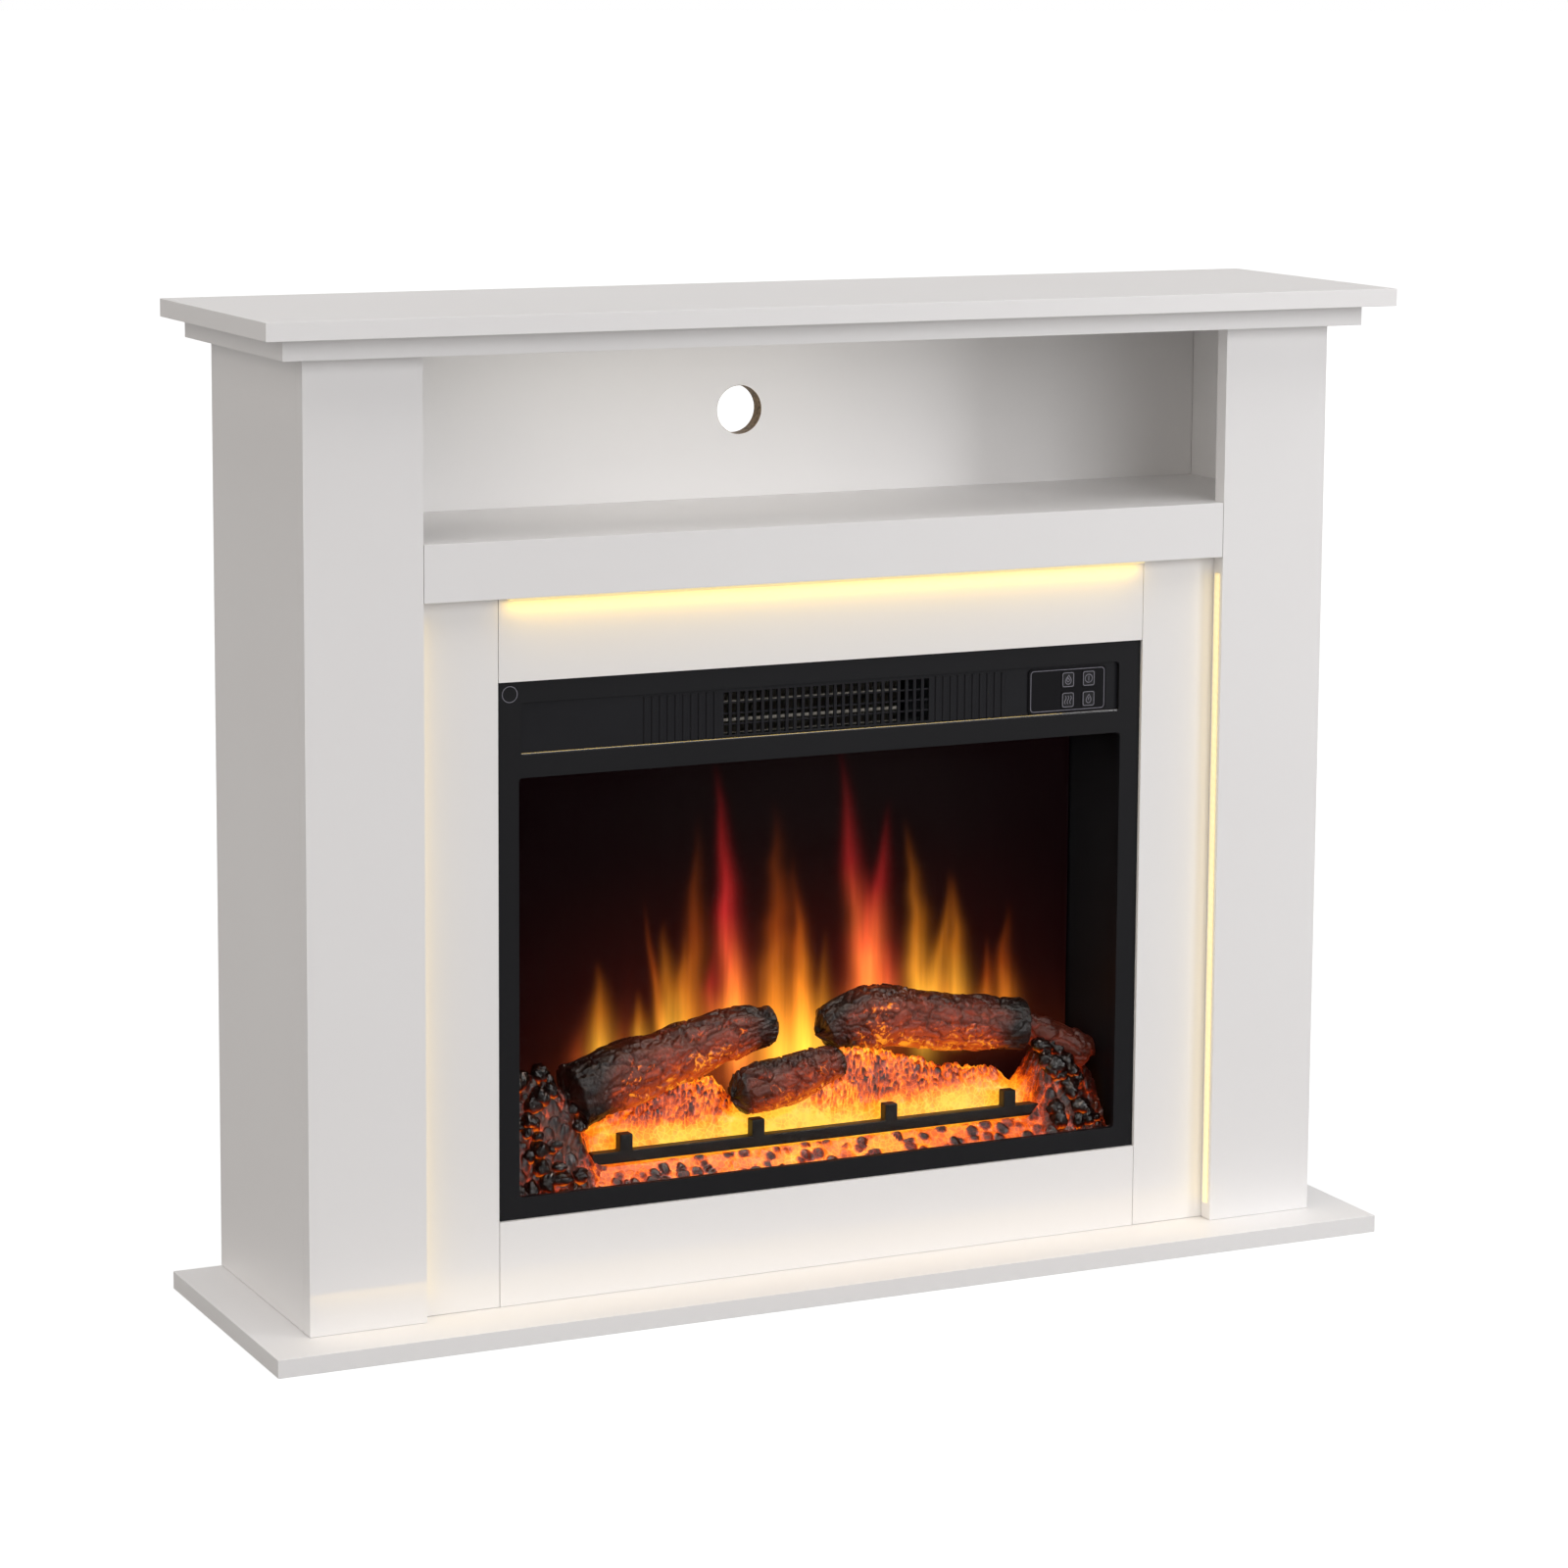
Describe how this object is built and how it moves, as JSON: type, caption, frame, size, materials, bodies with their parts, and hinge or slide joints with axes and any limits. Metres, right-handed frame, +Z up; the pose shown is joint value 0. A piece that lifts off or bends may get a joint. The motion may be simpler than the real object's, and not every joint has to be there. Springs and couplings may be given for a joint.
{
  "type": "electric fireplace",
  "caption": "White board mantelpiece with an open shelf and light strips, round a glazed electric fire with logs, flame screen, fan heater and push buttons.",
  "frame": {"origin": "centre of the base's footprint, on the floor", "axes": "+X to the right seen from the front, along the longest side; -Y is the front with the fire, +Y the wall side; +Z up"},
  "size_m": [1.224, 0.322, 1],
  "materials": {
    "white_board": "white melamine-faced board, satin",
    "raw_chipboard": "bare particle board, matte",
    "light_strip": "milky silicone over warm light chips",
    "black_steel": "black powder coat, satin",
    "black_plastic": "moulded black plastic, satin",
    "control_plate": "black film overlay, semi-gloss",
    "button": "black moulded plastic with a pale printed symbol",
    "symbol_print": "pale grey screen print",
    "circuit_board": "green solder mask, semi-gloss",
    "front_glass": "tempered glass, clear with a slight grey tint",
    "rubber_seal": "foam rubber, matte",
    "galvanised_steel": "galvanised sheet, satin",
    "flame_screen": "smoked translucent sheet that shows the flame picture",
    "rotor_foil": "bright crinkled foil",
    "motor_steel": "zinc-plated steel",
    "ember_resin": "translucent cast resin, lit from below",
    "coal_resin": "glossy black painted resin",
    "log_resin": "painted cast resin bark, matte with charred ends",
    "grate_black": "matte black paint",
    "heater_fins": "bare corrugated aluminium",
    "blower_metal": "bare rolled aluminium",
    "screw_steel": "zinc-plated screw steel"
  },
  "bodies": {
    "mantelpiece": {"top_board": "white_board", "under_moulding": "white_board", "base_board": "white_board", "left_side_panel": "white_board", "right_side_panel": "white_board", "left_pilaster_board": "white_board", "right_pilaster_board": "white_board", "niche_shelf": "white_board", "niche_back_panel": "white_board", "beam_front": "white_board", "upper_fascia": "white_board", "lower_fascia": "white_board", "left_fascia": "white_board", "right_fascia": "white_board", "rear_shelf_rail": "white_board", "rear_base_rail": "white_board", "led_strip_left": "light_strip", "led_strip_right": "light_strip", "led_strip_beam": "light_strip", "led_driver": "black_plastic", "insert_frame": "black_steel", "outlet_fascia": "black_plastic", "control_plate": "control_plate", "control_board": "circuit_board", "front_glass": "front_glass", "glass_seal": "rubber_seal", "casing_tray": "black_steel", "casing_top": "black_steel", "heater_deck": "galvanised_steel", "rear_cover": "galvanised_steel", "mains_gland": "black_plastic", "flame_screen": "flame_screen", "flame_mask": "galvanised_steel", "rotor_motor": "motor_steel", "rotor_bearing": "motor_steel", "flame_led_board": "circuit_board", "ember_led_board": "circuit_board", "ember_bed": "ember_resin", "left_log": "log_resin", "right_log": "log_resin", "middle_log": "log_resin", "grate_bar": "grate_black", "heater_duct": "galvanised_steel", "thermal_cutout": "motor_steel", "heating_element": "heater_fins", "blower_housing": "galvanised_steel", "blower_motor": "motor_steel", "left_bracket": "galvanised_steel", "right_bracket": "galvanised_steel", "left_bracket_screw_1": "screw_steel", "left_bracket_screw_2": "screw_steel", "right_bracket_screw_1": "screw_steel", "right_bracket_screw_2": "screw_steel"},
    "flame_spindle": {"flame_rotor": "rotor_foil"},
    "blower_wheel": {"blower_rotor": "blower_metal"},
    "power_button": {"button_power": "button"},
    "flame_button": {"button_flame": "button"},
    "heat_button": {"button_heat": "button"},
    "ember_button": {"button_embers": "button"}
  },
  "joints": [
    {"name": "flame_rotor_spin", "type": "hinge", "parent": "mantelpiece", "child": "flame_spindle", "pos_m": [0, 0.07, 0.15], "axis": [1, 0, 0], "continuous": true},
    {"name": "blower_spin", "type": "hinge", "parent": "mantelpiece", "child": "blower_wheel", "pos_m": [0, 0.021, 0.592], "axis": [1, 0, 0], "continuous": true},
    {"name": "power_press", "type": "slide", "parent": "mantelpiece", "child": "power_button", "axis": [0, 1, 0], "range_m": [0, 0.001], "stiffness_N_per_m": 800, "springref_m": -0.0005},
    {"name": "flame_press", "type": "slide", "parent": "mantelpiece", "child": "flame_button", "axis": [0, 1, 0], "range_m": [0, 0.001], "stiffness_N_per_m": 800, "springref_m": -0.0005},
    {"name": "heat_press", "type": "slide", "parent": "mantelpiece", "child": "heat_button", "axis": [0, 1, 0], "range_m": [0, 0.001], "stiffness_N_per_m": 800, "springref_m": -0.0005},
    {"name": "ember_press", "type": "slide", "parent": "mantelpiece", "child": "ember_button", "axis": [0, 1, 0], "range_m": [0, 0.001], "stiffness_N_per_m": 800, "springref_m": -0.0005}
  ]
}
